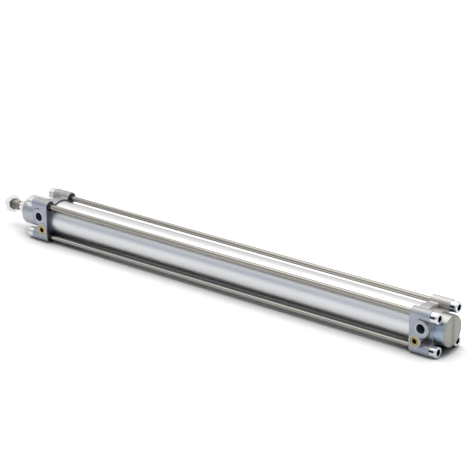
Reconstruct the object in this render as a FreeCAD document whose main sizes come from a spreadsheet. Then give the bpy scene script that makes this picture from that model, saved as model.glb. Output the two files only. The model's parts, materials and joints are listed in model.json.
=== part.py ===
"""Double-acting pneumatic cylinder with tie rods, 32 mm bore and 400 mm stroke, rod retracted.

Frame: +X runs along the axis from the rod end to the rear, -Y is the side of the air ports and +Z is up.
The origin lies on the axis, in the plane of the front tie rod nuts, which is the front mounting plane.
Each cover is drawn by its setback: the distance inwards from its own mounting plane.
"""
import FreeCAD, Part
import math
import os
import re
import Sketcher

SIZES = {
    # Lengths along the axis
    "stroke": 400.0,
    "cover_depth": 28.0,
    "spigot_length": 7.0,
    "piston_length": 21.4,
    "bumper_thickness": 1.0,
    "end_gap": 0.3,
    # Clearances
    "running_clearance": 0.05,
    "seat_clearance": 0.02,
    "ring_float": 0.1,
    # Barrel and tie rods
    "bore_radius": 16.0,
    "barrel_wall": 1.5,
    "tie_rod_spacing": 32.5,
    "tie_rod_radius": 2.675,
    "tie_thread_radius": 3.0,
    "tie_thread_length": 12.0,
    # Tie rod nuts
    "nut_head_length": 7.0,
    "nut_head_step": 1.2,
    "nut_length": 24.0,
    "nut_wall": 1.2,
    "nut_chamfer": 0.5,
    "socket_flats": 6.0,
    "socket_depth": 3.5,
    "mount_thread_radius": 2.5,
    "mount_thread_depth": 16.0,
    # Cover castings
    "lug_rim": 0.6,
    "lug_edge": 0.5,
    "body_setback": 8.0,
    "neck_wall": 1.0,
    "neck_edge": 0.5,
    "flange_wall": 1.5,
    "flange_thickness": 10.0,
    "flange_rim": 0.5,
    "lug_fillet": 2.5,
    "web_thickness": 3.0,
    "pilot_radius": 15.0,
    "pilot_edge": 0.8,
    "front_pilot_length": 14.0,
    "rear_pilot_length": 4.0,
    "spigot_chamfer": 0.6,
    # Air ports
    "port_setback": 16.3,
    "port_height": 4.3,
    "port_boss_radius": 8.4,
    "port_face_radius": 7.0,
    "port_face_depth": 0.3,
    "port_radius": 4.283,
    "port_depth": 9.5,
    "port_chamfer": 0.6,
    "port_passage_radius": 2.5,
    # Cushion chambers and their seals
    "chamber_gap": 0.5,
    "chamber_floor": 12.0,
    "cushion_groove_depth": 1.9,
    "cushion_groove_width": 3.4,
    "cushion_groove_inset": 1.6,
    "cushion_lip": 0.9,
    "barrel_groove_depth": 1.7,
    "barrel_groove_width": 2.2,
    "barrel_groove_inset": 2.4,
    "bumper_rim_gap": 0.4,
    "bumper_wall": 1.6,
    # Cushion needles
    "needle_setback": 21.3,
    "needle_drop": 8.5,
    "needle_boss_wall": 2.2,
    "needle_boss_rise": 0.8,
    "needle_boss_edge": 0.4,
    "retainer_radius": 4.3,
    "retainer_length": 4.0,
    "retainer_chamfer": 0.4,
    "retainer_socket_flats": 5.0,
    "retainer_socket_depth": 2.5,
    "needle_stem_radius": 1.6,
    "needle_stem_inset": 3.0,
    "needle_slot_width": 0.7,
    "needle_slot_depth": 0.9,
    "needle_bore_step": 0.9,
    "needle_collar_gap": 5.4,
    "needle_collar_length": 3.4,
    "needle_groove_width": 1.2,
    "needle_root_radius": 1.3,
    "needle_tip_radius": 0.25,
    "needle_tip_length": 2.5,
    "needle_seat_gap": 1.4,
    "needle_seat_radius": 1.0,
    "bypass_reach": 9.3,
    "bypass_radius": 1.0,
    # Rod guide in the nose
    "rod_seal_room": 4.5,
    "rod_seal_seat_depth": 9.5,
    "rod_seal_lip": 1.2,
    "rod_seal_wall": 1.6,
    "bush_wall": 2.0,
    "bush_chamfer": 0.3,
    # Piston rod
    "rod_radius": 6.0,
    "rod_projection": 26.0,
    "rod_thread_radius": 5.0,
    "rod_thread_length": 22.0,
    "rod_thread_chamfer": 1.0,
    "rod_flats": 10.0,
    "rod_flats_length": 6.0,
    "sleeve_seat_step": 1.0,
    "piston_seat_step": 1.0,
    "rod_tail": 0.8,
    # Piston and what it carries
    "piston_gap": 0.3,
    "piston_chamfer": 0.5,
    "seal_groove_inset": 2.0,
    "seal_groove_width": 3.6,
    "seal_groove_depth": 3.7,
    "seal_heel": 0.5,
    "seal_lip": 1.0,
    "wear_groove_width": 7.4,
    "wear_groove_depth": 1.3,
    "wear_ring_slit": 1.0,
    "magnet_groove_width": 4.0,
    "magnet_groove_depth": 4.1,
    "gasket_groove_depth": 1.2,
    "gasket_groove_width": 1.5,
    "sleeve_wall": 2.0,
    "sleeve_taper_length": 3.0,
    "sleeve_taper": 0.6,
    "front_sleeve_length": 18.0,
    "rear_sleeve_length": 13.0,
    "piston_nut_flats": 13.0,
    "piston_nut_thickness": 5.0,
    # Nut on the rod end
    "rod_nut_flats": 17.0,
    "rod_nut_thickness": 5.0,
    "rod_nut_setout": 37.8,
    "hex_chamfer": 0.9,
}

# Radii that follow from other sizes, as expressions
DERIVED = {
    "nut_shank_radius": "tie_thread_radius + nut_wall",
    "nut_head_radius": "nut_shank_radius + nut_head_step",
    "lug_radius": "nut_head_radius + lug_rim",
    "flange_radius": "bore_radius + barrel_wall + flange_wall",
    "neck_radius": "pilot_radius + neck_wall",
    "barrel_groove_radius": "bore_radius - barrel_groove_depth",
    "bumper_outer_radius": "bore_radius - bumper_rim_gap",
    "bumper_inner_radius": "bumper_outer_radius - bumper_wall",
    "needle_boss_radius": "retainer_radius + needle_boss_wall",
    "needle_groove_radius": "needle_stem_radius",
    "needle_bore_radius": "needle_stem_radius + needle_bore_step",
    "rod_seal_seat_radius": "rod_radius + rod_seal_room",
    "bush_radius": "rod_radius + bush_wall",
    "sleeve_radius": "rod_radius + sleeve_wall",
    "sleeve_taper_radius": "sleeve_radius - sleeve_taper",
    "chamber_radius": "sleeve_radius + chamber_gap",
    "cushion_groove_radius": "chamber_radius + cushion_groove_depth",
    "sleeve_seat_radius": "rod_radius - sleeve_seat_step",
    "piston_seat_radius": "sleeve_seat_radius - piston_seat_step",
    "piston_radius": "bore_radius - piston_gap",
    "seal_groove_radius": "piston_radius - seal_groove_depth",
    "wear_groove_radius": "piston_radius - wear_groove_depth",
    "magnet_groove_radius": "piston_radius - magnet_groove_depth",
    "gasket_groove_radius": "piston_seat_radius + gasket_groove_depth",
}

# Places worked out from the sizes, as expressions
HALF_SPACING = "tie_rod_spacing / 2"
HALF_WIDTH = "(tie_rod_spacing / 2 + lug_radius)"
SPIGOT_END = "(cover_depth + spigot_length)"
BARREL_LENGTH = "(stroke + piston_length + 2 * (bumper_thickness + end_gap) + 2 * spigot_length)"
MOUNT_SPAN = "(stroke + piston_length + 2 * (bumper_thickness + end_gap + spigot_length + cover_depth))"
PISTON_FRONT = "(cover_depth + spigot_length + bumper_thickness + end_gap + stroke)"
PISTON_REAR = "(cover_depth + spigot_length + bumper_thickness + end_gap + stroke + piston_length)"
FLANGE_START = "(cover_depth - flange_thickness)"
FLANGE_MIDDLE = "(cover_depth - flange_thickness / 2)"
NEEDLE_FACE = "(tie_rod_spacing / 2 + lug_radius + needle_boss_rise)"
NEEDLE_BORE_END = "(retainer_length + needle_collar_gap + needle_collar_length + needle_seat_gap)"

# The four tie rods, as signs of Y and Z, seen from the rod end: the port side first
CORNERS = {1: (-1, 1), 2: (-1, -1), 3: (1, 1), 4: (1, -1)}
HALF_TURN = FreeCAD.Rotation(FreeCAD.Vector(0, 0, 1), 180)
TOUCH = 1e-4

doc = FreeCAD.newDocument("PneumaticCylinder")
sheet = doc.addObject("Spreadsheet::Sheet", "Sizes")
for row, (alias, value) in enumerate(SIZES.items(), start=1):
    sheet.set(f"A{row}", alias)
    sheet.set(f"B{row}", str(value))
    sheet.setAlias(f"B{row}", alias)
doc.recompute()


def bound(text):
    """The expression with each size read from the sheet. A word before a bracket is a function."""
    def source(found):
        word = found.group(0)
        return f"({bound(DERIVED[word])})" if word in DERIVED else f"Sizes.{word}"
    return re.sub(r"\b[a-z][a-z_]*\b(?!\()", source, str(text))


def size(text):
    """The expression's present value."""
    return float(sheet.evalExpression(bound(text)))


# Drawing helpers

def new_body(label, place="0", turn=None):
    """An empty body whose origin lies on the axis, at a bound place along it."""
    body = doc.addObject("PartDesign::Body", label)
    body.Label = label
    if turn:
        body.Placement = FreeCAD.Placement(FreeCAD.Vector(), turn)
    body.setExpression("Placement.Base.x", bound(place))
    return body


def new_sketch(body, name, role, lift="0"):
    """A sketch on one of the body's own origin planes, lifted along the plane's normal."""
    made = body.newObject("Sketcher::SketchObject", f"{body.Label}_{name}")
    plane = next(part for part in body.Origin.OriginFeatures if part.Role == role)
    made.AttachmentSupport = [(plane, "")]
    made.MapMode = "FlatFace"
    made.setExpression("AttachmentOffset.Base.z", bound(lift))
    return made


def dimension(made, kind, picks, name, text):
    """A named constraint bound to an expression."""
    index = made.addConstraint(Sketcher.Constraint(kind, *picks, size(text)))
    made.renameConstraint(index, name)
    made.setExpression(f"Constraints.{name}", bound(text))


def add_polygon(made, corners):
    """A closed outline through corners, each a pair of expressions."""
    places = [FreeCAD.Vector(size(across), size(up), 0) for across, up in corners]
    first = made.GeometryCount
    count = len(places)
    for k in range(count):
        made.addGeometry(Part.LineSegment(places[k], places[(k + 1) % count]), False)
    for k in range(count):
        made.addConstraint(Sketcher.Constraint("Coincident", first + k, 2, first + (k + 1) % count, 1))
    for k, (across, up) in enumerate(corners):
        dimension(made, "DistanceX", (-1, 1, first + k, 1), f"across_{first + k}", across)
        dimension(made, "DistanceY", (-1, 1, first + k, 1), f"up_{first + k}", up)


def add_circle(made, across, up, radius):
    """A circle with a bound centre and radius."""
    centre = FreeCAD.Vector(size(across), size(up), 0)
    geo = made.addGeometry(Part.Circle(centre, FreeCAD.Vector(0, 0, 1), size(radius)), False)
    dimension(made, "DistanceX", (-1, 1, geo, 3), f"across_{geo}", across)
    dimension(made, "DistanceY", (-1, 1, geo, 3), f"up_{geo}", up)
    dimension(made, "Radius", (geo,), f"radius_{geo}", radius)


def turned(body, name, corners, kind="Revolution"):
    """A solid, or a groove, turned about the X axis from an outline of (place, radius) corners."""
    made = new_sketch(body, f"{name}_outline", "XY_Plane")
    add_polygon(made, corners)
    feature = body.newObject(f"PartDesign::{kind}", f"{body.Label}_{name}")
    feature.Profile = made
    feature.ReferenceAxis = (made, ["H_Axis"])
    feature.Angle = 360.0
    return feature


def extruded(body, name, made, length, kind="Pad", backwards=False):
    """A pad or a pocket of a finished sketch."""
    feature = body.newObject(f"PartDesign::{kind}", f"{body.Label}_{name}")
    feature.Profile = made
    feature.setExpression("Length", bound(length))
    feature.Reversed = backwards
    return feature


def hexagon(flats):
    """Corners of a hexagon with two of its flats upright, from its width across flats."""
    half = f"{flats} / 2"
    point = f"{flats} / sqrt(3)"
    low = f"{flats} / sqrt(12)"
    return [("0", point), (half, low), (half, f"-{low}"), ("0", f"-{point}"), (f"-{half}", f"-{low}"),
            (f"-{half}", low)]


def dress(body, kind, name, amount, wanted):
    """A fillet or chamfer on the edges that the test picks."""
    doc.recompute()
    last = body.Tip
    names = [f"Edge{k}" for k, edge in enumerate(last.Shape.Edges, start=1) if wanted(edge)]
    if not names:
        raise RuntimeError(f"{body.Label} {name}: no edge found")
    feature = body.newObject(f"PartDesign::{kind}", f"{body.Label}_{name}")
    feature.Base = (last, names)
    feature.setExpression("Radius" if kind == "Fillet" else "Size", bound(amount))
    return feature


def round_edge(place, radius, corners=((0, 0),)):
    """Picks circular edges by place and radius, about the axis or about the tie rods' axes."""
    half = size(HALF_SPACING)
    centres = [FreeCAD.Vector(size(place), y * half, z * half) for y, z in corners]

    def test(edge):
        curve = edge.Curve
        return (isinstance(curve, Part.Circle) and abs(curve.Radius - size(radius)) < TOUCH
                and any(curve.Center.distanceToPoint(centre) < TOUCH for centre in centres))
    return test


# Covers

def add_corner_circles(made, radius):
    """Four circles on the tie rods' axes."""
    for y, z in CORNERS.values():
        add_circle(made, f"{y} * {HALF_SPACING}", f"{z} * {HALF_SPACING}", radius)


def ring_corners(start, width, inner, outer):
    """Outline of a ring of rectangular section."""
    return [(start, inner), (start, outer), (f"{start} + {width}", outer), (f"{start} + {width}", inner)]


def cast_cover(label, side, pilot_length, place, turn=None):
    """The casting: a round flange with four lugs and a flat port side, then the neck with its nose or
    boss and a web to each lug. Side is the sign of Y that the port faces in the cover's own frame."""
    body = new_body(label, place, turn)

    disc = new_sketch(body, "flange_outline", "YZ_Plane", FLANGE_START)
    add_circle(disc, "0", "0", "flange_radius")
    extruded(body, "flange", disc, "flange_thickness")
    corners = new_sketch(body, "flange_lug_outline", "YZ_Plane", FLANGE_START)
    add_corner_circles(corners, "lug_radius")
    extruded(body, "flange_lugs", corners, "flange_thickness")
    flat = new_sketch(body, "port_side_outline", "YZ_Plane", FLANGE_START)
    inner = f"{side} * ({HALF_SPACING} - lug_radius / 2)"
    outer = f"{side} * {HALF_WIDTH}"
    add_polygon(flat, [(inner, f"-{HALF_SPACING}"), (outer, f"-{HALF_SPACING}"), (outer, HALF_SPACING),
                       (inner, HALF_SPACING)])
    extruded(body, "port_side", flat, "flange_thickness")
    rim = size("flange_radius")
    dress(body, "Fillet", "lug_fillets", "lug_fillet", lambda edge: (
        abs(edge.tangentAt(edge.FirstParameter).x) > 0.99
        and abs(math.hypot(edge.Vertexes[0].Y, edge.Vertexes[0].Z) - rim) < TOUCH))
    dress(body, "Fillet", "flange_rims", "flange_rim", lambda edge: (
        abs(edge.tangentAt(edge.FirstParameter).x) < 0.5))

    spigot_radius = "bore_radius - running_clearance"
    turned(body, "core", [
        (f"-{pilot_length}", "0"), (f"-{pilot_length}", "pilot_radius"), ("body_setback", "pilot_radius"),
        ("body_setback", "neck_radius"), (FLANGE_MIDDLE, "neck_radius"), (FLANGE_MIDDLE, spigot_radius),
        (f"{SPIGOT_END} - spigot_chamfer", spigot_radius),
        (SPIGOT_END, f"{spigot_radius} - spigot_chamfer"), (SPIGOT_END, "0")])
    dress(body, "Fillet", "neck_edge", "neck_edge", round_edge("body_setback", "neck_radius"))
    dress(body, "Fillet", "pilot_edge", "pilot_edge", round_edge(f"-{pilot_length}", "pilot_radius"))

    webs = new_sketch(body, "web_outline", "YZ_Plane", "body_setback")
    near = "(pilot_radius - web_thickness)"
    far = f"({HALF_SPACING} * sqrt(2) - lug_radius / 2)"
    half = "web_thickness / 2"
    ends = ((near, f"-{half}"), (far, f"-{half}"), (far, half), (near, half))
    for y, z in CORNERS.values():
        add_polygon(webs, [(f"({y} * {along} - {z} * {across}) / sqrt(2)",
                            f"({z} * {along} + {y} * {across}) / sqrt(2)") for along, across in ends])
    extruded(body, "webs", webs, f"{FLANGE_MIDDLE} - body_setback")

    lugs = new_sketch(body, "lug_outline", "YZ_Plane", "nut_head_length")
    add_corner_circles(lugs, "lug_radius")
    extruded(body, "lugs", lugs, f"{FLANGE_MIDDLE} - nut_head_length")
    lug_ends = round_edge("nut_head_length", "lug_radius", CORNERS.values())
    dress(body, "Fillet", "lug_edges", "lug_edge", lug_ends)

    port_boss = new_sketch(body, "port_boss_outline", "XZ_Plane")
    add_circle(port_boss, "port_setback", "port_height", "port_boss_radius")
    extruded(body, "port_boss", port_boss, HALF_WIDTH, "Pad", side > 0)

    needle_boss = new_sketch(body, "needle_boss_outline", "XZ_Plane")
    add_circle(needle_boss, "needle_setback", "-needle_drop", "needle_boss_radius")
    extruded(body, "needle_boss", needle_boss, NEEDLE_FACE, "Pad", side > 0)
    dress(body, "Fillet", "needle_boss_edge", "needle_boss_edge", lambda edge: (
        isinstance(edge.Curve, Part.Circle) and abs(abs(edge.Curve.Center.y) - size(NEEDLE_FACE)) < TOUCH))
    return body


def machine_cover(body, side):
    """What both covers have drilled, turned and grooved."""
    lug_bores = new_sketch(body, "lug_bore_outline", "YZ_Plane", "cover_depth")
    add_corner_circles(lug_bores, "nut_shank_radius + 2 * running_clearance")
    extruded(body, "lug_bores", lug_bores, "cover_depth - nut_head_length", "Pocket")

    turned(body, "barrel_groove", ring_corners(
        "cover_depth + barrel_groove_inset", "barrel_groove_width", "barrel_groove_radius", "bore_radius"),
        "Groove")
    turned(body, "cushion_groove", ring_corners(
        f"{SPIGOT_END} - cushion_groove_inset - cushion_groove_width", "cushion_groove_width",
        "chamber_radius / 2", "cushion_groove_radius"), "Groove")

    port = ("port_setback", "port_height")
    needle = ("needle_setback", "-needle_drop")
    drillings = [
        ("port_face", port, "port_face_radius", HALF_WIDTH, "port_face_depth"),
        ("port_thread", port, "port_radius", HALF_WIDTH, "port_depth"),
        ("port_passage", port, "port_passage_radius", HALF_WIDTH, f"{HALF_WIDTH} - chamber_radius / 2"),
        ("retainer_seat", needle, "retainer_radius + seat_clearance", NEEDLE_FACE, "retainer_length"),
        ("needle_bore", needle, "needle_bore_radius", NEEDLE_FACE, NEEDLE_BORE_END),
        ("needle_seat", needle, "needle_seat_radius", NEEDLE_FACE, NEEDLE_FACE),
    ]
    for name, (across, up), radius, face, depth in drillings:
        made = new_sketch(body, f"{name}_outline", "XZ_Plane", f"{-side} * {face}")
        add_circle(made, across, up, radius)
        extruded(body, name, made, depth, "Pocket", side > 0)
    mouth = size(HALF_WIDTH) - size("port_face_depth")
    dress(body, "Chamfer", "port_mouth", "port_chamfer", lambda edge: (
        isinstance(edge.Curve, Part.Circle) and abs(edge.Curve.Radius - size("port_radius")) < TOUCH
        and abs(abs(edge.Curve.Center.y) - mouth) < TOUCH))

    bypass = new_sketch(body, "bypass_outline", "YZ_Plane", SPIGOT_END)
    add_circle(bypass, f"{side} * bypass_reach", "-needle_drop", "bypass_radius")
    extruded(body, "bypass", bypass, f"{SPIGOT_END} - needle_setback - 2 * needle_seat_radius", "Pocket")


def front_cover():
    """The rod side cover, open for the rod, its bush and its seal."""
    body = cast_cover("front_cover", -1, "front_pilot_length", "0")
    bush_seat = "bush_radius + seat_clearance"
    seal_seat = "rod_seal_seat_depth - front_pilot_length"
    turned(body, "rod_bore", [
        ("-front_pilot_length", "0"), ("-front_pilot_length", "rod_seal_seat_radius"),
        (seal_seat, "rod_seal_seat_radius"), (seal_seat, bush_seat), ("chamber_floor", bush_seat),
        ("chamber_floor", "chamber_radius"), (SPIGOT_END, "chamber_radius"), (SPIGOT_END, "0")], "Groove")
    machine_cover(body, -1)
    return body


def rear_cover():
    """The blind cover, with a closed cushion chamber."""
    body = cast_cover("rear_cover", 1, "rear_pilot_length", MOUNT_SPAN, HALF_TURN)
    turned(body, "chamber", [
        ("chamber_floor", "0"), ("chamber_floor", "chamber_radius"), (SPIGOT_END, "chamber_radius"),
        (SPIGOT_END, "0")], "Groove")
    machine_cover(body, 1)
    return body


# Barrel, tie rods and their nuts

def barrel():
    """The drawn tube between the covers' inner faces."""
    body = new_body("barrel", "cover_depth")
    turned(body, "tube", ring_corners("0", BARREL_LENGTH, "bore_radius", "bore_radius + barrel_wall"))
    return body


def on_corner(body, k):
    """Puts a body on one of the tie rods' axes."""
    y, z = CORNERS[k]
    body.setExpression("Placement.Base.y", bound(f"{y} * {HALF_SPACING}"))
    body.setExpression("Placement.Base.z", bound(f"{z} * {HALF_SPACING}"))
    return body


def tie_rod(k):
    """A rod with a thicker rolled thread at each end, which ends inside the nuts."""
    body = new_body(f"tie_rod_{k}", "mount_thread_depth")
    length = f"({MOUNT_SPAN} - 2 * mount_thread_depth)"
    thread = "tie_thread_radius - running_clearance"
    bevel = "tie_thread_radius - running_clearance - nut_chamfer"
    turned(body, "shank", [
        ("0", "0"), ("0", bevel), ("nut_chamfer", thread), ("tie_thread_length", thread),
        ("tie_thread_length", "tie_rod_radius"), (f"{length} - tie_thread_length", "tie_rod_radius"),
        (f"{length} - tie_thread_length", thread), (f"{length} - nut_chamfer", thread), (length, bevel),
        (length, "0")])
    return on_corner(body, k)


def tie_rod_nut(label, k, place, turn=None):
    """A sleeve nut: a round head with a hexagon socket, the mounting thread and the tie rod's thread."""
    body = new_body(label, place, turn)
    turned(body, "sleeve", [
        ("0", "mount_thread_radius"), ("0", "nut_head_radius - nut_chamfer"),
        ("nut_chamfer", "nut_head_radius"), ("nut_head_length", "nut_head_radius"),
        ("nut_head_length", "nut_shank_radius"), ("nut_length - nut_chamfer", "nut_shank_radius"),
        ("nut_length", "nut_shank_radius - nut_chamfer"), ("nut_length", "tie_thread_radius"),
        ("mount_thread_depth", "tie_thread_radius"), ("mount_thread_depth", "mount_thread_radius")])
    socket = new_sketch(body, "socket_outline", "YZ_Plane")
    add_polygon(socket, hexagon("socket_flats"))
    extruded(body, "socket", socket, "socket_depth", "Pocket", True)
    return on_corner(body, k)


# Seals, rings and bushes held by the covers

def sealing_ring(label, place, section, centre):
    """A round-section ring about the axis."""
    ring = doc.addObject("Part::Torus", label)
    ring.Label = label
    ring.setExpression("Radius1", bound(centre))
    ring.setExpression("Radius2", bound(section))
    ring.Placement = FreeCAD.Placement(FreeCAD.Vector(), FreeCAD.Rotation(FreeCAD.Vector(0, 1, 0), 90))
    ring.setExpression("Placement.Base.x", bound(place))
    return ring


def cover_rings(end, base, sign):
    """The barrel ring, cushion seal and bumper of one cover, from its mounting plane inwards."""
    def inward(setback):
        return f"{base} + {sign} * ({setback})"
    turn = HALF_TURN if sign < 0 else None
    section = "(bore_radius - barrel_groove_radius) / 2 - seat_clearance"
    made = [sealing_ring(
        f"{end}_barrel_oring", inward("cover_depth + barrel_groove_inset + barrel_groove_width / 2"),
        section, "(bore_radius + barrel_groove_radius) / 2")]

    seal = new_body(f"{end}_cushion_seal", inward(
        f"{SPIGOT_END} - cushion_groove_inset - cushion_groove_width + seat_clearance"), turn)
    width = "cushion_groove_width - 2 * seat_clearance"
    lip = "sleeve_radius + running_clearance"
    root = "cushion_groove_radius - seat_clearance"
    turned(seal, "lip", [
        ("0", lip), ("0", f"{root} - cushion_lip"), ("cushion_lip", root), (width, root),
        (width, f"{lip} + cushion_lip"), (f"{width} - cushion_lip", lip)])
    made.append(seal)

    bumper = new_body(f"{end}_bumper", inward(SPIGOT_END), turn)
    turned(bumper, "pad", ring_corners("0", "bumper_thickness", "bumper_inner_radius", "bumper_outer_radius"))
    dress(bumper, "Fillet", "pad_edges", "bumper_thickness / 4", round_edge(
        "bumper_thickness", "bumper_outer_radius"))
    made.append(bumper)
    return made


def rod_bush():
    """The plain bearing of the rod, pressed into the nose."""
    start = "(rod_seal_seat_depth - front_pilot_length + seat_clearance)"
    body = new_body("rod_bush", start)
    length = f"chamber_floor - {start}"
    turned(body, "sleeve", ring_corners("0", length, "rod_radius + running_clearance", "bush_radius"))
    dress(body, "Chamfer", "lead_in", "bush_chamfer", round_edge(length, "bush_radius"))
    return body


def rod_seal():
    """Wiper and rod seal in one, with a lip that stands out of the nose."""
    body = new_body("rod_seal", "-front_pilot_length")
    bore = "rod_radius + running_clearance"
    root = "rod_seal_seat_radius - seat_clearance"
    depth = "(rod_seal_seat_depth - seat_clearance)"
    turned(body, "lips", [
        ("-rod_seal_lip", bore), ("-rod_seal_lip", f"{bore} + rod_seal_lip / 2"),
        ("0", f"{bore} + 2 * rod_seal_wall"), ("0", root), (depth, root), (depth, f"{root} - rod_seal_wall"),
        (f"{depth} / 2", f"{root} - rod_seal_wall"), (f"{depth} / 2", f"{bore} + rod_seal_wall"),
        (depth, f"{bore} + rod_seal_wall / 2"), (depth, bore)])
    return body


# Cushion needles

def at_needle(body, end):
    """Turns a piece drawn along X so that it points into a cover, its origin on the needle boss's face."""
    base = "needle_setback" if end == "front" else f"{MOUNT_SPAN} - needle_setback"
    body.Placement = FreeCAD.Placement(FreeCAD.Vector(), FreeCAD.Rotation(FreeCAD.Vector(0, 0, 1), 90))
    body.setExpression("Placement.Base.x", bound(base))
    body.setExpression("Placement.Base.y", bound(f"-{NEEDLE_FACE}"))
    body.setExpression("Placement.Base.z", bound("-needle_drop"))
    return body


def needle_pieces(end):
    """The brass retainer, the needle with its screwdriver slot, and the needle's ring."""
    retainer = at_needle(new_body(f"{end}_needle_retainer"), end)
    outer = "retainer_radius"
    turned(retainer, "bush", [
        ("0", "needle_stem_radius + running_clearance"), ("0", f"{outer} - retainer_chamfer"),
        ("retainer_chamfer", outer), ("retainer_length - seat_clearance", outer),
        ("retainer_length - seat_clearance", "needle_stem_radius + running_clearance")])
    socket = new_sketch(retainer, "socket_outline", "YZ_Plane")
    add_polygon(socket, hexagon("retainer_socket_flats"))
    extruded(retainer, "socket", socket, "retainer_socket_depth", "Pocket", True)

    needle = at_needle(new_body(f"{end}_cushion_needle"), end)
    collar = "(retainer_length + needle_collar_gap)"
    collar_end = f"({collar} + needle_collar_length)"
    collar_radius = "needle_bore_radius - 2 * running_clearance"
    groove = f"({collar} + needle_collar_length / 2 - needle_groove_width / 2)"
    turned(needle, "stem", [
        ("needle_stem_inset", "0"), ("needle_stem_inset", "needle_stem_radius"),
        (collar, "needle_stem_radius"), (collar, collar_radius), (groove, collar_radius),
        (groove, "needle_groove_radius"), (f"{groove} + needle_groove_width", "needle_groove_radius"),
        (f"{groove} + needle_groove_width", collar_radius), (collar_end, collar_radius),
        (collar_end, "needle_root_radius"), (f"{collar_end} + needle_tip_length", "needle_tip_radius"),
        (f"{collar_end} + needle_tip_length", "0")])
    slot = new_sketch(needle, "slot_outline", "YZ_Plane", "needle_stem_inset")
    half = "needle_slot_width / 2"
    add_polygon(slot, [("-needle_stem_radius", f"-{half}"), ("needle_stem_radius", f"-{half}"),
                       ("needle_stem_radius", half), ("-needle_stem_radius", half)])
    extruded(needle, "slot", slot, "needle_slot_depth", "Pocket", True)

    wide = "(needle_bore_radius - running_clearance)"
    section = f"({wide} - needle_groove_radius) / 2"
    ring = sealing_ring(f"{end}_needle_oring", "0", f"{section} - seat_clearance", f"{wide} - {section}")
    depth = f"({collar} + needle_collar_length / 2)"
    base = "needle_setback" if end == "front" else f"{MOUNT_SPAN} - needle_setback"
    ring.Placement = FreeCAD.Placement(FreeCAD.Vector(), FreeCAD.Rotation(FreeCAD.Vector(1, 0, 0), 90))
    ring.setExpression("Placement.Base.x", bound(base))
    ring.setExpression("Placement.Base.y", bound(f"{depth} - {NEEDLE_FACE}"))
    ring.setExpression("Placement.Base.z", bound("-needle_drop"))
    return [retainer, needle, ring]


# Piston rod and piston, retracted

def piston_rod():
    """The rod, stepped for the cushion sleeves and the piston, with a threaded end and wrench flats."""
    body = new_body("piston_rod")
    thread_end = "(rod_projection + rod_thread_length)"
    sleeve_step = f"({PISTON_FRONT} - front_sleeve_length)"
    tail = f"({PISTON_REAR} + rear_sleeve_length + piston_nut_thickness + rod_tail)"
    turned(body, "shaft", [
        (f"-{thread_end}", "0"), (f"-{thread_end}", "rod_thread_radius - rod_thread_chamfer"),
        (f"rod_thread_chamfer - {thread_end}", "rod_thread_radius"), ("-rod_projection", "rod_thread_radius"),
        ("-rod_projection", "rod_radius - rod_thread_chamfer / 2"),
        ("rod_thread_chamfer / 2 - rod_projection", "rod_radius"),
        (sleeve_step, "rod_radius"), (sleeve_step, "sleeve_seat_radius"),
        (PISTON_FRONT, "sleeve_seat_radius"), (PISTON_FRONT, "piston_seat_radius"),
        (tail, "piston_seat_radius"), (tail, "0")])
    flats = new_sketch(body, "flats_outline", "YZ_Plane", "-rod_projection")
    for sign in (1, -1):
        near = f"{sign} * rod_flats / 2"
        far = f"{sign} * (rod_radius + rod_thread_chamfer)"
        add_polygon(flats, [(near, "-rod_radius"), (far, "-rod_radius"), (far, "rod_radius"),
                            (near, "rod_radius")])
    extruded(body, "flats", flats, "rod_flats_length", "Pocket", True)
    return body


def piston():
    """The piston, with grooves for two lip seals, the wear ring and the magnet under it."""
    body = new_body("piston", PISTON_FRONT)
    rim = "piston_radius"
    edge = "piston_radius - piston_chamfer"
    bore = "piston_seat_radius + seat_clearance"
    middle = "piston_length / 2"
    turned(body, "blank", [
        ("0", bore), ("0", edge), ("piston_chamfer", rim), ("piston_length - piston_chamfer", rim),
        ("piston_length", edge), ("piston_length", bore)])
    outside = "piston_radius + piston_chamfer"
    inside = "piston_seat_radius / 2"
    rear_seal = "piston_length - seal_groove_inset - seal_groove_width"
    grooves = [
        ("front_seal", "seal_groove_inset", "seal_groove", outside),
        ("rear_seal", rear_seal, "seal_groove", outside),
        ("wear", f"{middle} - wear_groove_width / 2", "wear_groove", outside),
        ("magnet", f"{middle} - magnet_groove_width / 2", "magnet_groove", outside),
        ("gasket", f"{middle} - gasket_groove_width / 2", "gasket_groove", inside),
    ]
    for name, start, kind, open_side in grooves:
        corners = ring_corners(start, f"{kind}_width", f"{kind}_radius", open_side)
        turned(body, f"{name}_groove", corners, "Groove")
    return body


def piston_rings():
    """The wear ring with its slanting slit and the two lip seals."""
    wear = new_body("wear_ring", f"{PISTON_FRONT} + piston_length / 2 - wear_groove_width / 2 + ring_float")
    length = "wear_groove_width - 2 * ring_float"
    rim = "bore_radius - running_clearance"
    turned(wear, "band", ring_corners("0", length, "wear_groove_radius + running_clearance", rim))
    slit = new_sketch(wear, "slit_outline", "XY_Plane", "wear_groove_radius / 2")
    add_polygon(slit, [("-ring_float", "-wear_ring_slit"), ("-ring_float", "0"),
                       ("wear_groove_width", "wear_groove_width / 2 + wear_ring_slit"),
                       ("wear_groove_width", "wear_groove_width / 2")])
    extruded(wear, "slit", slit, "bore_radius", "Pocket", True)

    width = "(seal_groove_width - 2 * ring_float)"
    heel = "seal_groove_radius + running_clearance"
    lip_outline = [
        ("0", f"{rim} - seal_lip"), ("0", rim), ("seal_heel", rim), (width, f"{rim} - 2 * seal_heel"),
        (width, heel), ("0", heel), ("0", f"{heel} + seal_lip"), (f"{width} / 2", f"{heel} + seal_lip"),
        (f"{width} / 2", f"{rim} - 2 * seal_lip")]
    front = new_body("front_piston_seal", f"{PISTON_FRONT} + seal_groove_inset + ring_float")
    turned(front, "lip", lip_outline)
    rear = new_body("rear_piston_seal", f"{PISTON_REAR} - seal_groove_inset - ring_float", HALF_TURN)
    turned(rear, "lip", lip_outline)
    return [wear, front, rear]


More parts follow.
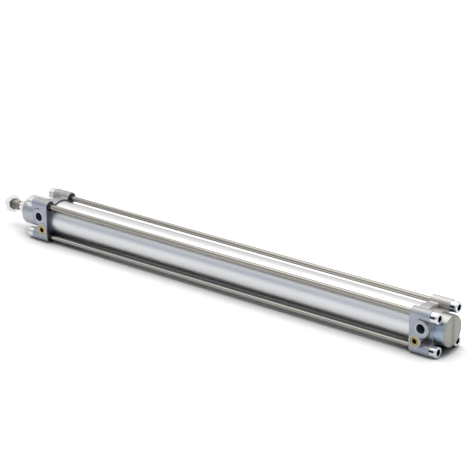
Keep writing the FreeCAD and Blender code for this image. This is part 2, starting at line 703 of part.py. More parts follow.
def piston_fittings():
    """The magnet, the gasket, the cushion sleeves and the nut that holds the piston on the rod."""
    middle = f"{PISTON_FRONT} + piston_length / 2"
    magnet = new_body("piston_magnet", f"{middle} - magnet_groove_width / 2 + seat_clearance")
    turned(magnet, "ring", ring_corners(
        "0", "magnet_groove_width - 2 * seat_clearance", "magnet_groove_radius + seat_clearance",
        "wear_groove_radius - ring_float"))

    section = "(gasket_groove_radius - piston_seat_radius) / 2 - seat_clearance"
    gasket = sealing_ring("piston_gasket", middle, section, "(gasket_groove_radius + piston_seat_radius) / 2")

    front = new_body("front_cushion_sleeve", f"{PISTON_FRONT} - front_sleeve_length + seat_clearance")
    front_length = "(front_sleeve_length - 2 * seat_clearance)"
    turned(front, "sleeve", [
        ("0", "sleeve_seat_radius + seat_clearance"), ("0", "sleeve_taper_radius"),
        ("sleeve_taper_length", "sleeve_radius"), (front_length, "sleeve_radius"),
        (front_length, "sleeve_seat_radius + seat_clearance")])

    rear = new_body("rear_cushion_sleeve", f"{PISTON_REAR} + seat_clearance")
    rear_length = "(rear_sleeve_length - 2 * seat_clearance)"
    turned(rear, "sleeve", [
        ("0", "piston_seat_radius + seat_clearance"), ("0", "sleeve_radius"),
        (f"{rear_length} - sleeve_taper_length", "sleeve_radius"), (rear_length, "sleeve_taper_radius"),
        (rear_length, "piston_seat_radius + seat_clearance")])

    nut = hex_nut("piston_nut", f"{PISTON_REAR} + rear_sleeve_length", "piston_nut_flats",
                  "piston_nut_thickness", "piston_seat_radius + seat_clearance")
    return [magnet, gasket, front, rear, nut]


def hex_nut(label, place, flats, thickness, bore):
    """A hexagon nut with bevelled corners on both faces."""
    body = new_body(label, place)
    outline = new_sketch(body, "outline", "YZ_Plane")
    add_polygon(outline, hexagon(flats))
    extruded(body, "blank", outline, thickness)
    point = f"{flats} / sqrt(3)"
    slope = "sqrt(3)"
    for name, face, sign in (("front_bevel", "0", 1), ("rear_bevel", thickness, -1)):
        turned(body, name, [
            (face, f"{point} - hex_chamfer"), (face, f"{point} + hex_chamfer"),
            (f"{face} + {sign} * 2 * hex_chamfer / {slope}", f"{point} + hex_chamfer")], "Groove")
    hole = new_sketch(body, "hole_outline", "YZ_Plane")
    add_circle(hole, "0", "0", bore)
    extruded(body, "hole", hole, thickness, "Pocket", True)
    return body


# Build, check and write

pieces = [barrel(), front_cover(), rear_cover()]
for k in CORNERS:
    pieces.append(tie_rod(k))
    pieces.append(tie_rod_nut(f"front_nut_{k}", k, "0"))
    pieces.append(tie_rod_nut(f"rear_nut_{k}", k, MOUNT_SPAN, HALF_TURN))
pieces += cover_rings("front", "0", 1)
pieces += cover_rings("rear", MOUNT_SPAN, -1)
pieces += [rod_bush(), rod_seal()]
for end in ("front", "rear"):
    pieces += needle_pieces(end)
pieces += [piston_rod(), piston()]
pieces += piston_rings()
pieces += piston_fittings()
pieces.append(hex_nut("rod_nut", "-rod_nut_setout - rod_nut_thickness", "rod_nut_flats",
                      "rod_nut_thickness", "rod_thread_radius + seat_clearance"))
doc.recompute()

for item in doc.Objects:
    if "Invalid" in item.State or "Error" in item.State:
        raise RuntimeError(f"{item.Name} failed: {item.State}")
for piece in pieces:
    if piece.Shape.isNull() or not piece.Shape.isValid() or not piece.Shape.Solids:
        raise RuntimeError(f"{piece.Label} has no valid solid")

os.makedirs("parts", exist_ok=True)
for piece in pieces:
    piece.Shape.exportStep(f"parts/{piece.Label}.step")
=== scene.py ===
"""Looks of the pneumatic cylinder: camera, studio, finishes and the threads that can be seen."""
import json
import math

import bmesh
import bpy
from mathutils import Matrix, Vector


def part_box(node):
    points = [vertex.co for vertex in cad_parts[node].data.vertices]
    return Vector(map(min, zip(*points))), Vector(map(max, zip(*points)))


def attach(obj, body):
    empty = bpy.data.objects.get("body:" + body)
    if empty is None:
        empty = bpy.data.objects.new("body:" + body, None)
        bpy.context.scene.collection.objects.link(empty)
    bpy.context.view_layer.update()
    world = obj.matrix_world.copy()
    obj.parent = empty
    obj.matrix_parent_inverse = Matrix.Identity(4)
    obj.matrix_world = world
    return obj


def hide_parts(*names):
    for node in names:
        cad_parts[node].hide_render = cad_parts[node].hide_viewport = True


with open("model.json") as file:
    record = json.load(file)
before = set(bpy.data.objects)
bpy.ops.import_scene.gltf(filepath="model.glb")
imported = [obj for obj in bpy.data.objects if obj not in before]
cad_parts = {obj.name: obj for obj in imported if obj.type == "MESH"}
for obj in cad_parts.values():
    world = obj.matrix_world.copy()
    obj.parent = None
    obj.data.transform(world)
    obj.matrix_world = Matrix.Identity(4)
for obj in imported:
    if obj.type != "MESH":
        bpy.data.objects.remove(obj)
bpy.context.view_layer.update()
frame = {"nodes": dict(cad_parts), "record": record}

NODES = frame["nodes"]
SLOTS = {row["node"]: row["material_slot"] for row in frame["record"]["subparts"]}
MOUNTS = {row["name"]: row for row in frame["record"]["mounts"]}

# Places shared with the solids, in metres
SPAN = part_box("rear_nut_1")[1].x
FLOOR_HEIGHT = -0.02225
BODY_SETBACK = 0.008
ROD_RADIUS = 0.006
ROD_SHOULDER = -0.026
THREAD_RELIEF = 0.0016
CORNER = 0.01625
NEEDLE_SETBACK = 0.0213
NEEDLE_DROP = 0.0085

# Limits a little outside or inside a form, in metres, so that a mask takes in the whole of it
PILOT_LIMIT = 0.01512
NECK_LIMITS = (0.0150, 0.0153)
LUG_LIMITS = (0.0062, 0.0072)
INNER_FACE_LIMITS = (0.0275, 0.0279)
TIE_BORE_LIMIT = 0.00436
NUT_SOCKET_LIMIT = 0.00358
NUT_THREAD_LIMIT = 0.00256
PORT_FACE_LIMIT = 0.00702
PORT_BORE_LIMIT = 0.0047
NEEDLE_RIM_LIMIT = 0.0062
NEEDLE_SOCKET_LIMIT = 0.00295

# Where a noise begins and ends to change a colour or a shine
MOTTLE = (0.3, 0.7)

BLACK = (0.02, 0.02, 0.025)
WHITE = (1.0, 1.0, 1.0)


# Camera

def add_object(name, data):
    made = bpy.data.objects.new(name, data)
    bpy.context.scene.collection.objects.link(made)
    return made


def aim(thing, towards):
    thing.rotation_mode = "QUATERNION"
    thing.rotation_quaternion = towards.to_track_quat("-Z", "Y")


def make_camera():
    """The photograph's view, fitted to the nuts, the ports, the boss, the tube and the tie rods."""
    azimuth, elevation = math.radians(37.699), math.radians(21.214)
    distance, pan, rise = 1.724585, 0.188115, -0.082515
    back = Vector((math.sin(azimuth) * math.cos(elevation), -math.cos(azimuth) * math.cos(elevation),
                   math.sin(elevation)))
    right = Vector((math.cos(azimuth), math.sin(azimuth), 0))
    up = back.cross(right)
    data = bpy.data.cameras.new("camera")
    data.sensor_width, data.lens = 36, 146.872
    data.clip_start, data.clip_end = 0.05, 30
    camera = add_object("camera", data)
    camera.location = Vector((SPAN, 0, 0)) + back * distance - right * pan - up * rise
    aim(camera, -back)
    bpy.context.scene.camera = camera


# Node helpers

def add(tree, kind, inputs=None, output=0, **settings):
    """Adds a node, sets or links its inputs, and returns one of its outputs."""
    node = tree.nodes.new(kind)
    for name, value in settings.items():
        setattr(node, name, value)
    for name, value in (inputs or {}).items():
        socket = node.inputs[name]
        if isinstance(value, bpy.types.NodeSocket):
            tree.links.new(value, socket)
        else:
            socket.default_value = value
    return node.outputs[output]


def math_node(tree, operation, first, second=0.0):
    return add(tree, "ShaderNodeMath", {0: first, 1: second}, operation=operation)


def total(tree, first, second):
    return math_node(tree, "ADD", first, second)


def scaled(tree, value, factor):
    return math_node(tree, "MULTIPLY", value, factor)


def gap_to(tree, value, centre):
    """How far a value is from a centre, either way."""
    return math_node(tree, "ABSOLUTE", math_node(tree, "SUBTRACT", value, centre))


def split(tree, vector):
    """The X, Y and Z of a vector."""
    parts = tree.nodes.new("ShaderNodeSeparateXYZ")
    tree.links.new(vector, parts.inputs[0])
    return parts.outputs


def place(tree, stretch=(1, 1, 1)):
    """The point's place in the object's own frame, stretched for a grain that runs one way."""
    here = add(tree, "ShaderNodeTexCoord", output="Object")
    if stretch == (1, 1, 1):
        return here
    return add(tree, "ShaderNodeMapping", {"Vector": here, "Scale": stretch})


def noise(tree, scale, stretch=(1, 1, 1), detail=3.0, rough=0.55):
    return add(tree, "ShaderNodeTexNoise", {
        "Vector": place(tree, stretch), "Scale": scale, "Detail": detail, "Roughness": rough})


def ramp(tree, value, stops):
    """A colour ramp over (place, colour) stops."""
    node = tree.nodes.new("ShaderNodeValToRGB")
    for k, (where, colour) in enumerate(stops):
        element = node.color_ramp.elements[k] if k < 2 else node.color_ramp.elements.new(where)
        element.position = where
        element.color = (*colour, 1)
    tree.links.new(value, node.inputs["Fac"])
    return node.outputs["Color"]


def mottled(tree, value, low, high):
    """A colour that wanders between two with a noise."""
    return ramp(tree, value, [(MOTTLE[0], low), (MOTTLE[1], high)])


def spread(tree, value, low, high, to_low=0.0, to_high=1.0):
    """A value mapped from one range to another and clamped: by default 0 at low and 1 at high."""
    return add(tree, "ShaderNodeMapRange", {
        "Value": value, "From Min": low, "From Max": high, "To Min": to_low, "To Max": to_high})


def wander(tree, value, low, high):
    """A number that wanders between two with a noise."""
    return spread(tree, value, *MOTTLE, low, high)


def blend_colour(tree, factor, first, second):
    """The first colour where the factor is 0, and the second where it is 1."""
    node = tree.nodes.new("ShaderNodeMix")
    node.data_type = "RGBA"
    for socket, value in ((node.inputs[0], factor), (node.inputs[6], first), (node.inputs[7], second)):
        if isinstance(value, bpy.types.NodeSocket):
            tree.links.new(value, socket)
        else:
            socket.default_value = (*value, 1)
    return node.outputs[2]


def bump(tree, height, distance, normal=None):
    inputs = {"Height": height, "Distance": distance, "Strength": 1.0}
    if normal:
        inputs["Normal"] = normal
    return add(tree, "ShaderNodeBump", inputs)


def soft_edges(tree, radius):
    """The normal with small edges rounded."""
    return add(tree, "ShaderNodeBevel", {"Radius": radius}, samples=6)


def new_finish(name, metallic, roughness):
    made = bpy.data.materials.new(name)
    made.use_nodes = True
    shader = made.node_tree.nodes["Principled BSDF"]
    shader.inputs["Metallic"].default_value = metallic
    shader.inputs["Roughness"].default_value = roughness
    return made, made.node_tree, shader


def link(tree, shader, **sockets):
    for name, value in sockets.items():
        tree.links.new(value, shader.inputs[name.replace("_", " ")])


# Masks, from the point's place in the shared frame and the way it faces

def parts_of(tree):
    """The three parts of the point's place."""
    return split(tree, place(tree))


def facing_of(tree):
    """The three parts of the surface's direction."""
    return split(tree, add(tree, "ShaderNodeNewGeometry", output="Normal"))


def edge_mask(tree, radius):
    """Near 1 on the edges of a form and 0 on its faces."""
    flat = add(tree, "ShaderNodeNewGeometry", output="Normal")
    along = add(tree, "ShaderNodeVectorMath", {0: soft_edges(tree, radius), 1: flat}, output="Value",
                operation="DOT_PRODUCT")
    return spread(tree, along, 0.995, 0.80)


def distance_from_line(tree, across, up, axis):
    """Distance from a line along X or Y through the given place."""
    keep = (0, 1, 1) if axis == "X" else (1, 0, 1)
    here = add(tree, "ShaderNodeVectorMath", {0: place(tree), 1: keep}, operation="MULTIPLY")
    centre = (0, across, up) if axis == "X" else (across, 0, up)
    return add(tree, "ShaderNodeVectorMath", {0: here, 1: centre}, output="Value", operation="DISTANCE")


def setback(tree):
    """Distance inwards from the nearer mounting plane."""
    x = parts_of(tree)["X"]
    return math_node(tree, "MINIMUM", x, math_node(tree, "SUBTRACT", SPAN, x))


def corner_distance(tree):
    """Distance from the nearest tie rod's axis."""
    parts = parts_of(tree)
    across = math_node(tree, "SUBTRACT", math_node(tree, "ABSOLUTE", parts["Y"]), CORNER)
    up = math_node(tree, "SUBTRACT", math_node(tree, "ABSOLUTE", parts["Z"]), CORNER)
    both = add(tree, "ShaderNodeCombineXYZ", {"X": across, "Y": up})
    return add(tree, "ShaderNodeVectorMath", {0: both}, output="Value", operation="LENGTH")


def needle_distances(tree):
    """Distances from the front and the rear cushion needle's axis."""
    return [distance_from_line(tree, x, -NEEDLE_DROP, "Y") for x in (NEEDLE_SETBACK, SPAN - NEEDLE_SETBACK)]


def below(tree, value, limit):
    return math_node(tree, "LESS_THAN", value, limit)


def on_rear_half(tree, parts):
    return math_node(tree, "GREATER_THAN", parts["X"], SPAN / 2)


def all_of(tree, *masks):
    """1 only where every mask is 1."""
    product = masks[0]
    for mask in masks[1:]:
        product = math_node(tree, "MULTIPLY", product, mask)
    return product


# Finishes, one for each of the record's slots

def tube_finish():
    """Drawn and anodised tube: satin, with a faint grain along its length, and painted shade on its
    underside.
    """
    made, tree, shader = new_finish("tube", 1.0, 0.34)
    grain = noise(tree, 900, (0.03, 1, 1), 4)
    cloud = noise(tree, 14, (0.25, 1, 1), 3)
    colour = mottled(tree, cloud, (0.75, 0.76, 0.77), (0.81, 0.82, 0.83))
    # Painted shade: faces turned down are darkened in the tube's colour.
    painted_underside_shade = spread(tree, facing_of(tree)["Z"], -0.68, -0.82)
    colour = blend_colour(tree, painted_underside_shade, colour, (0.44, 0.45, 0.48))
    shine = total(tree, wander(tree, grain, 0.29, 0.38), wander(tree, cloud, -0.02, 0.03))
    link(tree, shader, Base_Color=colour, Roughness=shine, Normal=bump(tree, grain, 0.000004))
    return made


def casting_skin(tree, parts, facing, cloud, port_facing):
    """Dulled warm grey, with a painted bluish reflection on the faces towards the port side, a painted
    highlight on the top of the far rear lug, and paler edges.
    """
    warm = mottled(tree, cloud, (0.405, 0.395, 0.39), (0.50, 0.49, 0.48))
    # Painted reflection: a bluer copy of the skin for the faces towards the port side.
    painted_port_reflection = mottled(tree, cloud, (0.37, 0.40, 0.465), (0.45, 0.475, 0.545))
    skin = blend_colour(tree, port_facing, warm, painted_port_reflection)
    # Painted highlight: the top of the far rear lug is paler.
    painted_far_top_light = all_of(tree, spread(tree, facing["Z"], 0.6, 0.85), spread(tree, parts["Y"], 0.008, 0.012),
                     on_rear_half(tree, parts), spread(tree, cloud, 0.2, 0.8, 0.8, 1.0))
    skin = blend_colour(tree, painted_far_top_light, skin, (0.60, 0.585, 0.57))
    return blend_colour(tree, edge_mask(tree, 0.0007), skin, (0.62, 0.63, 0.65))


def turned_pilots(tree, parts, facing, rings):
    """The turned side of the rear boss and the front nose, each with a painted reflection on the side facing
    the port and a painted highlight stripe over the top.
    """
    # Painted light: lit and shaded copies of the turned finish, chosen by the way the surface faces.
    painted_top_mask = spread(tree, facing["Y"], -0.9, -0.55)
    # Painted highlight: a bright stripe across the top, darker beyond it.
    over = spread(tree, facing["Y"], -0.5, 0.5)
    # Painted glints: the rings pale towards white on the top only.
    painted_ring_glint = wander(tree, rings, 0.0, 0.12)
    boss_painted_side = mottled(tree, rings, (0.38, 0.45, 0.57), (0.44, 0.52, 0.65))
    boss_painted_top = ramp(tree, over, [
        (0.0, (0.38, 0.385, 0.365)), (0.33, (0.55, 0.55, 0.52)), (0.60, (0.20, 0.20, 0.185))])
    nose_painted_side = mottled(tree, rings, (0.44, 0.455, 0.49), (0.53, 0.55, 0.58))
    nose_painted_top = ramp(tree, over, [
        (0.0, (0.57, 0.57, 0.565)), (0.33, (0.74, 0.74, 0.73)), (0.67, (0.60, 0.60, 0.59))])
    boss, nose = (blend_colour(tree, painted_top_mask, side, blend_colour(tree, painted_ring_glint, top, WHITE))
                  for side, top in ((boss_painted_side, boss_painted_top), (nose_painted_side, nose_painted_top)))
    return blend_colour(tree, on_rear_half(tree, parts), nose, boss)


def boss_face(tree, parts, axis):
    """The boss's end face: a painted reflection, as a darker upright streak through the middle, and a turned
    groove near the rim.
    """
    # Painted reflection: the darker upright streak that a turned face shows.
    middle, painted_streak_width = 0.0007, (0.001, 0.0055)
    lay = noise(tree, 700, (1, 1, 0.05), 3)
    off_middle = total(tree, gap_to(tree, parts["Y"], middle), scaled(tree, lay, 0.002))
    face = ramp(tree, spread(tree, off_middle, *painted_streak_width), [
        (0.0, (0.26, 0.255, 0.225)), (1.0, (0.38, 0.375, 0.335))])
    groove_inside, groove_outside = (0.0132, 0.0135), (0.0141, 0.0138)
    groove = all_of(tree, spread(tree, axis, *groove_inside), spread(tree, axis, *groove_outside))
    return blend_colour(tree, groove, face, (0.22, 0.215, 0.19))


def casting_ports(tree, parts, cloud, colour):
    """The colour with both ports' faces, pale and darker towards the rim, and painted shade in their bores.
    """
    face_level, mouth, bottom = -0.0215, (-0.0219, -0.0213), (-0.006, -0.007)
    rim_from = (0.0052, 0.0066)
    faces = []
    for name, pale in (("front_port", (0.68, 0.72, 0.78)), ("rear_port", (0.56, 0.60, 0.64))):
        x, _, z = MOUNTS[name]["pos_m"]
        out = distance_from_line(tree, x, z, "Y")
        face = all_of(tree, below(tree, out, PORT_FACE_LIMIT), below(tree, parts["Y"], face_level))
        # Darker towards the rim of each port's face.
        toward_rim = spread(tree, total(tree, out, scaled(tree, cloud, 0.0012)), *rim_from)
        colour = blend_colour(tree, face, colour, blend_colour(tree, toward_rim, pale, (0.43, 0.46, 0.51)))
        # Painted shade down in each port's hole.
        painted_bore_shade = all_of(tree, below(tree, out, PORT_BORE_LIMIT), spread(tree, parts["Y"], *mouth),
                      spread(tree, parts["Y"], *bottom))
        colour = blend_colour(tree, painted_bore_shade, colour, (0.06, 0.08, 0.115))
        faces.append(face)
    return colour, faces


def casting_shades(tree, parts, facing, inwards, axis, colour):
    """The colour with needle rims, painted shade on the inner faces and in the tie-rod bores, and painted
    light on the rear flange's high face and painted shade on its low face.
    """
    rim_level = -0.0218
    for out in needle_distances(tree):
        rim = all_of(tree, below(tree, out, NEEDLE_RIM_LIMIT), below(tree, parts["Y"], rim_level))
        colour = blend_colour(tree, rim, colour, (0.46, 0.48, 0.42))
    # Painted shade on the inner faces of the covers.
    colour = blend_colour(tree, spread(tree, inwards, *INNER_FACE_LIMITS), colour, (0.11, 0.12, 0.155))
    corner = corner_distance(tree)
    flange = all_of(tree, spread(tree, axis, *NECK_LIMITS), spread(tree, corner, *LUG_LIMITS),
                    spread(tree, facing["X"], 0.5, 0.8), on_rear_half(tree, parts))
    # Painted light on the rear flange's high face.
    high = all_of(tree, flange, spread(tree, parts["Z"], 0.008, 0.013))
    colour = blend_colour(tree, high, colour, (0.74, 0.72, 0.70))
    # Painted shade on the rear flange's low face near the boss.
    low = scaled(tree, all_of(tree, flange, spread(tree, parts["Z"], -0.004, -0.010)), 0.85)
    colour = blend_colour(tree, low, colour, (0.03, 0.04, 0.07))
    # Painted shade in the tie-rod bores round the rods.
    return blend_colour(tree, below(tree, corner, TIE_BORE_LIMIT), colour, BLACK)


def casting_finish():
    """Blasted die casting, with machined pilots and port faces, painted light and shade that follow the way a
    face turns, and painted shade in the bores and on the inner faces.
    """
    made, tree, shader = new_finish("casting", 1.0, 0.5)
    parts, facing = parts_of(tree), facing_of(tree)
    inwards = setback(tree)
    axis = distance_from_line(tree, 0, 0, "X")
    grain = noise(tree, 1500, detail=5, rough=0.65)
    pits = noise(tree, 5200, detail=2)
    cloud = noise(tree, 60, detail=3)
    turned_place = add(tree, "ShaderNodeCombineXYZ", {"X": axis, "Y": inwards})
    rings = add(tree, "ShaderNodeTexNoise", {"Vector": turned_place, "Scale": 4200.0, "Detail": 2.0})
    # Faces towards the port side: they take the painted bluish reflection and a smoother shine.
    port_facing = all_of(tree, spread(tree, facing["Y"], -0.35, -0.85), spread(tree, parts["Y"], -0.002, -0.010))
    pilot = all_of(tree, below(tree, axis, PILOT_LIMIT), below(tree, inwards, BODY_SETBACK - 0.0001))
    boss_end = (SPAN + 0.0030, SPAN + 0.0038)
    end = all_of(tree, pilot, spread(tree, parts["X"], *boss_end))

    colour = casting_skin(tree, parts, facing, cloud, port_facing)
    colour = blend_colour(tree, pilot, colour, turned_pilots(tree, parts, facing, rings))
    colour = blend_colour(tree, end, colour, boss_face(tree, parts, axis))
    colour, faces = casting_ports(tree, parts, cloud, colour)
    colour = casting_shades(tree, parts, facing, inwards, axis, colour)

    turned = pilot
    for face in faces:
        turned = math_node(tree, "MAXIMUM", turned, face)
    blasted = total(tree, scaled(tree, grain, 1.6), scaled(tree, pits, 0.7))
    blasted = scaled(tree, blasted, math_node(tree, "SUBTRACT", 1.0, turned))
    height = total(tree, blasted, scaled(tree, all_of(tree, rings, turned), 0.25))
    blasted_shine = spread(tree, port_facing, 0, 1, 0.50, 0.42)
    turned_shine = spread(tree, turned, 0, 1, 0.60, 0.34)
    shine = total(tree, math_node(tree, "MINIMUM", blasted_shine, turned_shine),
                  wander(tree, grain, -0.03, 0.03))
    link(tree, shader, Base_Color=colour, Roughness=shine,
         Normal=bump(tree, height, 0.00003, soft_edges(tree, 0.0004)))
    return made


def painted_nut_shade(tree, parts, facing, cloud):
    """A painted dark reflection on the port side of the rear nuts, painted shade on the lower port side of
    the far ones, and painted shade round their seats.
    """
    band_centre, band_edge = 0.30, (0.34, 0.24)
    head, seat, end_of_seat = (0.0012, 0.0026), (0.0072, 0.0077), (0.0100, 0.0090)
    # Painted reflection: a dark stripe at a fixed facing on the rear nuts.
    off_band = total(tree, gap_to(tree, facing["Z"], band_centre), scaled(tree, cloud, 0.2))
    painted_reflection_band = spread(tree, off_band, *band_edge)
    # Painted shade: the lower port side of the far rear nuts.
    under = all_of(tree, spread(tree, facing["Z"], 0.0, -0.3),
                   math_node(tree, "GREATER_THAN", parts["Y"], 0.0))
    inwards = setback(tree)
    streak = all_of(tree, math_node(tree, "MAXIMUM", painted_reflection_band, under), spread(tree, facing["Y"], -0.4, -0.7),
                    spread(tree, inwards, *head))
    # Painted shade in a thin ring round each rear nut's seat.
    painted_seat_shade = all_of(tree, spread(tree, inwards, *seat), spread(tree, facing["Z"], 0.5, 0.0))
    return all_of(tree, math_node(tree, "MAXIMUM", streak, painted_seat_shade), on_rear_half(tree, parts),
                  spread(tree, inwards, *end_of_seat))


def zinc_finish():
    """Bright zinc plate, with painted dark reflection and shade on the rear nuts near their seats, and
    painted shade in the sockets and bores.
    """
    made, tree, shader = new_finish("zinc", 1.0, 0.12)
    parts, facing = parts_of(tree), facing_of(tree)
    corner = corner_distance(tree)
    cloud = noise(tree, 260, detail=3)
    plate = mottled(tree, cloud, (0.76, 0.80, 0.83), (0.88, 0.90, 0.90))
    plate = blend_colour(tree, painted_nut_shade(tree, parts, facing, cloud), plate, (0.03, 0.04, 0.09))
    socket_mouth, countersink_rim = (-0.0001, 0.0008), (0.0062, 0.0056)
    # Painted shade inside the nut sockets.
    inside = all_of(tree, below(tree, corner, NUT_SOCKET_LIMIT), spread(tree, setback(tree), *socket_mouth))
    colour = blend_colour(tree, inside, plate, BLACK)
    # Painted shade in a ring round the rod nut's hole.
    painted_countersink_shade = spread(tree, distance_from_line(tree, 0, 0, "X"), *countersink_rim)
    colour = blend_colour(tree, painted_countersink_shade, colour, (0.05, 0.05, 0.05))
    millimetres = scaled(tree, parts["X"], 1000.0)
    thread = math_node(tree, "PINGPONG", millimetres, 1.0)
    threaded = all_of(tree, thread, below(tree, corner, NUT_THREAD_LIMIT))
    height = total(tree, scaled(tree, cloud, 0.05), threaded)
    shine = total(tree, wander(tree, cloud, 0.09, 0.17), scaled(tree, inside, 0.3))
    link(tree, shader, Base_Color=colour, Roughness=shine,
         Normal=bump(tree, height, 0.0002, soft_edges(tree, 0.00025)))
    return made


def tie_rod_finish():
    """Drawn stainless bar with streaks along it; the lower bars have a painted highlight as a bright line,
    with painted shade on the side that faces up.
    """
    made, tree, shader = new_finish("tie_rod", 1.0, 0.2)
    streak = noise(tree, 700, (0.01, 1, 1), 4)
    cloud = noise(tree, 30, (0.3, 1, 1), 2)
    colour = ramp(tree, streak, [(0.25, (0.30, 0.28, 0.25)), (0.75, (0.47, 0.45, 0.405))])
    facing = facing_of(tree)
    low_bar = all_of(tree, below(tree, parts_of(tree)["Z"], 0.0), below(tree, facing["Y"], 0.0))
    # Painted highlight: a bright line on the lower bars at a fixed facing.
    line = all_of(tree, spread(tree, facing["Z"], 0.48, 0.56), spread(tree, facing["Z"], 0.72, 0.64))
    colour = blend_colour(tree, all_of(tree, line, low_bar), colour, (0.86, 0.85, 0.82))
    # Painted shade on the side of the lower bars that faces up.
    painted_top_side_shade = spread(tree, facing["Z"], 0.72, 0.80)
    colour = blend_colour(tree, all_of(tree, painted_top_side_shade, low_bar), colour, (0.17, 0.16, 0.15))
    shine = total(tree, wander(tree, streak, 0.09, 0.17), wander(tree, cloud, -0.02, 0.04))
    link(tree, shader, Base_Color=colour, Roughness=shine, Normal=bump(tree, streak, 0.000006))
    return made


def rod_finish():
    """Hard chrome on the ground rod, and oiled steel on its rolled thread."""
    made, tree, shader = new_finish("rod", 1.0, 0.1)
    thread_end = -0.0279
    threaded = below(tree, parts_of(tree)["X"], thread_end)
    lay = noise(tree, 2600, (1, 0.15, 0.15), 3)
    cloud = noise(tree, 220, detail=4)
    chrome = mottled(tree, lay, (0.78, 0.78, 0.79), (0.86, 0.86, 0.87))
    steel = mottled(tree, cloud, (0.26, 0.245, 0.22), (0.60, 0.58, 0.53))
    colour = blend_colour(tree, threaded, chrome, steel)
    shine = total(tree, wander(tree, lay, 0.07, 0.13), scaled(tree, threaded, 0.20))
    link(tree, shader, Base_Color=colour, Roughness=shine, Normal=bump(tree, lay, 0.000002))
    return made


def turned_finish(name, low, high, roughness):
    """A turned metal piece: fine rings, slight stains and softened, paler edges."""
    made, tree, shader = new_finish(name, 1.0, roughness)
    lay = noise(tree, 900, (1, 0.3, 0.3), 3)
    cloud = noise(tree, 120, detail=4)
    pale = tuple(min(1.0, c * 1.25 + 0.03) for c in high)
    colour = blend_colour(tree, edge_mask(tree, 0.0003), mottled(tree, cloud, low, high), pale)
    shine = wander(tree, lay, roughness - 0.05, roughness + 0.07)
    link(tree, shader, Base_Color=colour, Roughness=shine,
         Normal=bump(tree, lay, 0.00001, soft_edges(tree, 0.0002)))
    return made


def brass_finish():
    """Turned brass, with painted shade down in the hexagon socket."""
    made, tree, shader = new_finish("brass", 1.0, 0.26)
    lay = noise(tree, 900, (0.3, 1, 0.3), 3)
    cloud = noise(tree, 120, detail=4)
    colour = mottled(tree, cloud, (0.46, 0.33, 0.13), (0.62, 0.48, 0.23))
    colour = blend_colour(tree, edge_mask(tree, 0.0003), colour, (0.80, 0.67, 0.40))
    socket_mouth = (-0.0230, -0.0225)
    deep = spread(tree, parts_of(tree)["Y"], *socket_mouth)
    for out in needle_distances(tree):
        # Painted shade down in each needle's hexagon socket.
        socket = all_of(tree, below(tree, out, NEEDLE_SOCKET_LIMIT), deep)
        colour = blend_colour(tree, socket, colour, (0.09, 0.03, 0.006))
    link(tree, shader, Base_Color=colour, Roughness=wander(tree, lay, 0.20, 0.34),
         Normal=bump(tree, lay, 0.00001, soft_edges(tree, 0.0002)))
    return made


def moulded_finish(name, low, high, roughness):
    """A moulded piece: fine speckle, bloom and softened edges."""
    made, tree, shader = new_finish(name, 0.0, roughness)
    grain = noise(tree, 2200, detail=4)
    cloud = noise(tree, 150, detail=3)
    shine = wander(tree, grain, roughness - 0.08, roughness + 0.08)
    link(tree, shader, Base_Color=mottled(tree, cloud, low, high), Roughness=shine,
         Normal=bump(tree, grain, 0.00001, soft_edges(tree, 0.0002)))
    return made


FINISHES = {
    "barrel": tube_finish(),
    "casting": casting_finish(),
    "zinc": zinc_finish(),
    "tie_rod": tie_rod_finish(),
    "rod": rod_finish(),
    "brass": brass_finish(),
    "bronze": turned_finish("bronze", (0.34, 0.23, 0.12), (0.48, 0.34, 0.19), 0.45),
    "needle": turned_finish("needle", (0.16, 0.12, 0.08), (0.26, 0.20, 0.13), 0.3),
    "piston": turned_finish("piston", (0.60, 0.61, 0.63), (0.72, 0.73, 0.75), 0.32),
    "magnet": moulded_finish("magnet", (0.05, 0.05, 0.055), (0.10, 0.10, 0.11), 0.55),
    "wear_ring": moulded_finish("wear_ring", (0.66, 0.61, 0.50), (0.78, 0.74, 0.64), 0.42),
    "rubber": moulded_finish("rubber", (0.020, 0.020, 0.021), (0.045, 0.045, 0.047), 0.5),
    "bumper": moulded_finish("bumper", (0.045, 0.045, 0.05), (0.085, 0.085, 0.09), 0.45),
    "seal": moulded_finish("seal", (0.05, 0.045, 0.04), (0.10, 0.09, 0.08), 0.4),
}


def finish_nodes():
    for name, node in NODES.items():
        node.data.materials.clear()
        node.data.materials.append(FINISHES[SLOTS[name]])


# Threads

def skin_over(name, work, rows):
    """Closes rows of points into a tube with flat ends, and returns the object."""
    sides = len(rows[0])
    for low, high in zip(rows, rows[1:]):
        for k in range(sides):
            work.faces.new((low[k], low[(k + 1) % sides], high[(k + 1) % sides], high[k]))
    work.faces.new(rows[0])
    work.faces.new(rows[-1])
    bmesh.ops.recalc_face_normals(work, faces=work.faces)
    data = bpy.data.meshes.new(name)
    work.to_mesh(data)
    work.free()
    return add_object(name, data)


def turn(name, stations, sides, radius_at, half_width_at):
    """A solid turned about X, with its sides cut flat beyond the half width at each station."""
    work = bmesh.new()
    rows = []
    for x in stations:
        row = []
        for k in range(sides):
            angle = 2 * math.pi * k / sides
            radius = radius_at(x, angle)
            half = half_width_at(x)
            y = max(-half, min(half, radius * math.cos(angle)))
            row.append(work.verts.new((x, y, radius * math.sin(angle))))
        rows.append(row)
    made = skin_over(name, work, rows)
    made.data.shade_smooth()
    made.data.set_sharp_from_angle(angle=math.radians(28))
    return made


def thread_form(turns):
    """Height of a thread's form at a place counted in turns: 1 on the crest and 0 at the root."""
    root_width, flank_width = 0.22, 0.62
    across = abs((turns % 1.0) - 0.5) * 2
    return max(0.0, min(1.0, (across - root_width) / flank_width))


def between(low, high, steps):
    return [low + (high - low) * k / steps for k in range(steps + 1)]


